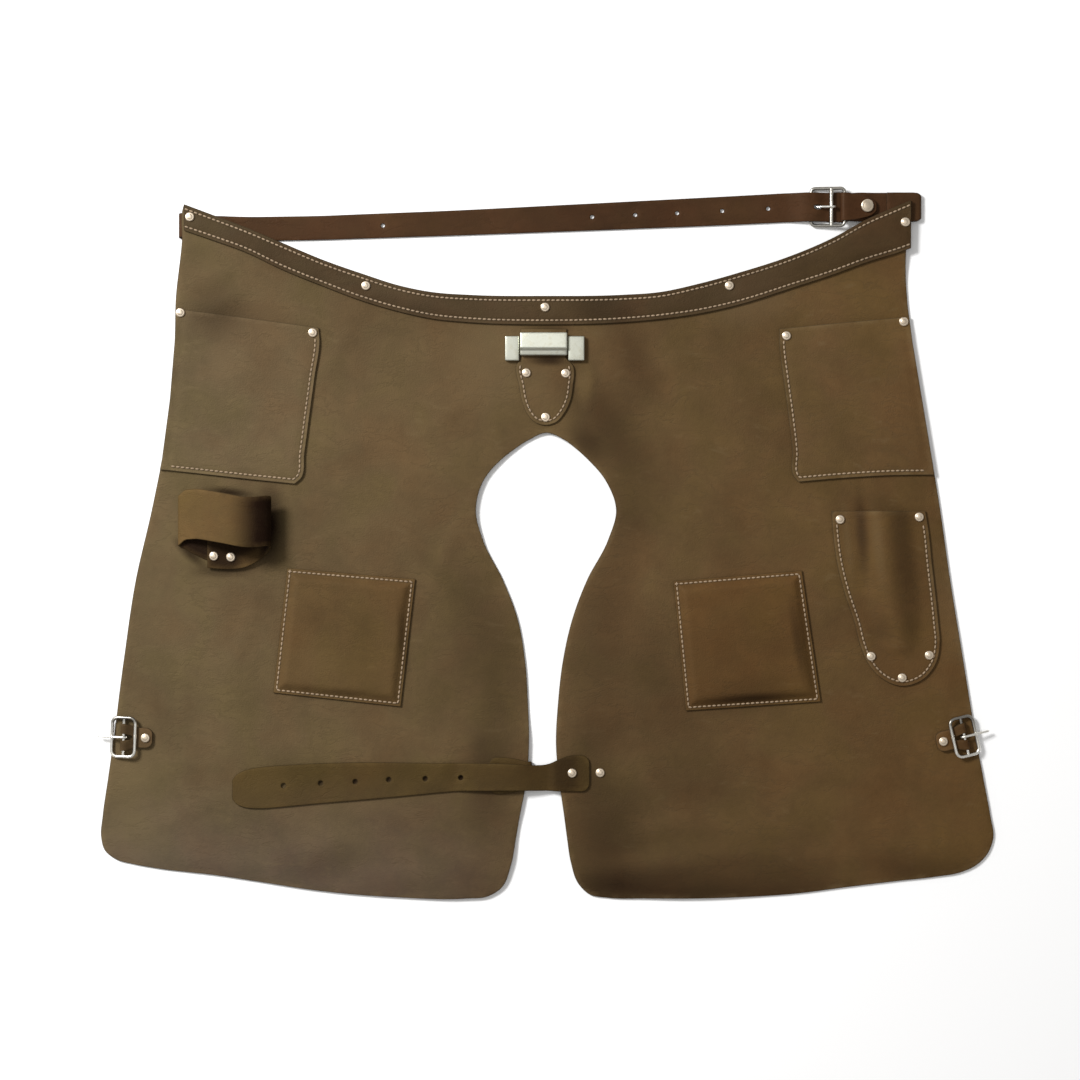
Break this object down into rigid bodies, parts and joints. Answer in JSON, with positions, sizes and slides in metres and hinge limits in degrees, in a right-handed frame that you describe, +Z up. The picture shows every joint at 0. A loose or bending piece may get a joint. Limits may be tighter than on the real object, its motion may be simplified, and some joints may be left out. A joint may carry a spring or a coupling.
{
  "type": "split-leg leather apron",
  "caption": "Split-leg leather work apron laid flat, front up, with a buckled waist belt, leg straps, knee patches, pockets, a hammer loop and a knife sheath.",
  "frame": {"origin": "on the surface the apron lies on, under the middle of its bounding box", "axes": "+X to the apron's right as seen from above, +Y up towards the waist, +Z up from the surface"},
  "size_m": [0.8944, 0.7118, 0.0353],
  "materials": {
    "panel_leather": "oiled, worn",
    "band_leather": "oiled, dark",
    "belt_leather": "waxed, reddish",
    "nickel_steel": "nickel plated"
  },
  "bodies": {
    "apron": {"apron_panel": "panel_leather", "pocket_left": "panel_leather", "pocket_right": "panel_leather", "knee_patch_left": "panel_leather", "knee_patch_right": "panel_leather", "knife_sheath": "panel_leather", "hammer_loop": "panel_leather", "magnet_tab": "panel_leather", "waistband": "band_leather", "leg_strap_left": "band_leather", "leg_strap_right": "band_leather", "waist_belt": "belt_leather", "waist_chape": "belt_leather", "leg_chape_left": "belt_leather", "leg_chape_right": "belt_leather", "magnet_body": "nickel_steel", "magnet_end_left": "nickel_steel", "magnet_end_right": "nickel_steel", "waist_buckle_frame": "nickel_steel", "waist_buckle_tongue": "nickel_steel", "leg_buckle_frame_left": "nickel_steel", "leg_buckle_frame_right": "nickel_steel", "rivet_belt": "nickel_steel", "rivet_chape_left": "nickel_steel", "rivet_chape_right": "nickel_steel", "rivet_loop_1": "nickel_steel", "rivet_loop_2": "nickel_steel", "rivet_pocket_1": "nickel_steel", "rivet_pocket_2": "nickel_steel", "rivet_pocket_3": "nickel_steel", "rivet_pocket_4": "nickel_steel", "rivet_sheath_1": "nickel_steel", "rivet_sheath_2": "nickel_steel", "rivet_sheath_3": "nickel_steel", "rivet_sheath_4": "nickel_steel", "rivet_sheath_5": "nickel_steel", "rivet_strap_1": "nickel_steel", "rivet_strap_2": "nickel_steel", "rivet_strap_3": "nickel_steel", "rivet_tab_1": "nickel_steel", "rivet_tab_2": "nickel_steel", "rivet_tab_3": "nickel_steel", "rivet_waist_1": "nickel_steel", "rivet_waist_2": "nickel_steel", "rivet_waist_3": "nickel_steel", "rivet_waist_4": "nickel_steel", "rivet_waist_5": "nickel_steel"},
    "tongue_left": {"leg_buckle_tongue_left": "nickel_steel"},
    "tongue_right": {"leg_buckle_tongue_right": "nickel_steel"}
  },
  "joints": [
    {"name": "left_tongue_hinge", "type": "hinge", "parent": "apron", "child": "tongue_left", "pos_m": [-0.42149, -0.19375, 0.0063], "axis": [0.0349, 0.9994, 0], "range_deg": [0, 140]},
    {"name": "right_tongue_hinge", "type": "hinge", "parent": "apron", "child": "tongue_right", "pos_m": [0.41745, -0.19316, 0.0063], "axis": [0.225, -0.9744, 0], "range_deg": [0, 140]}
  ]
}
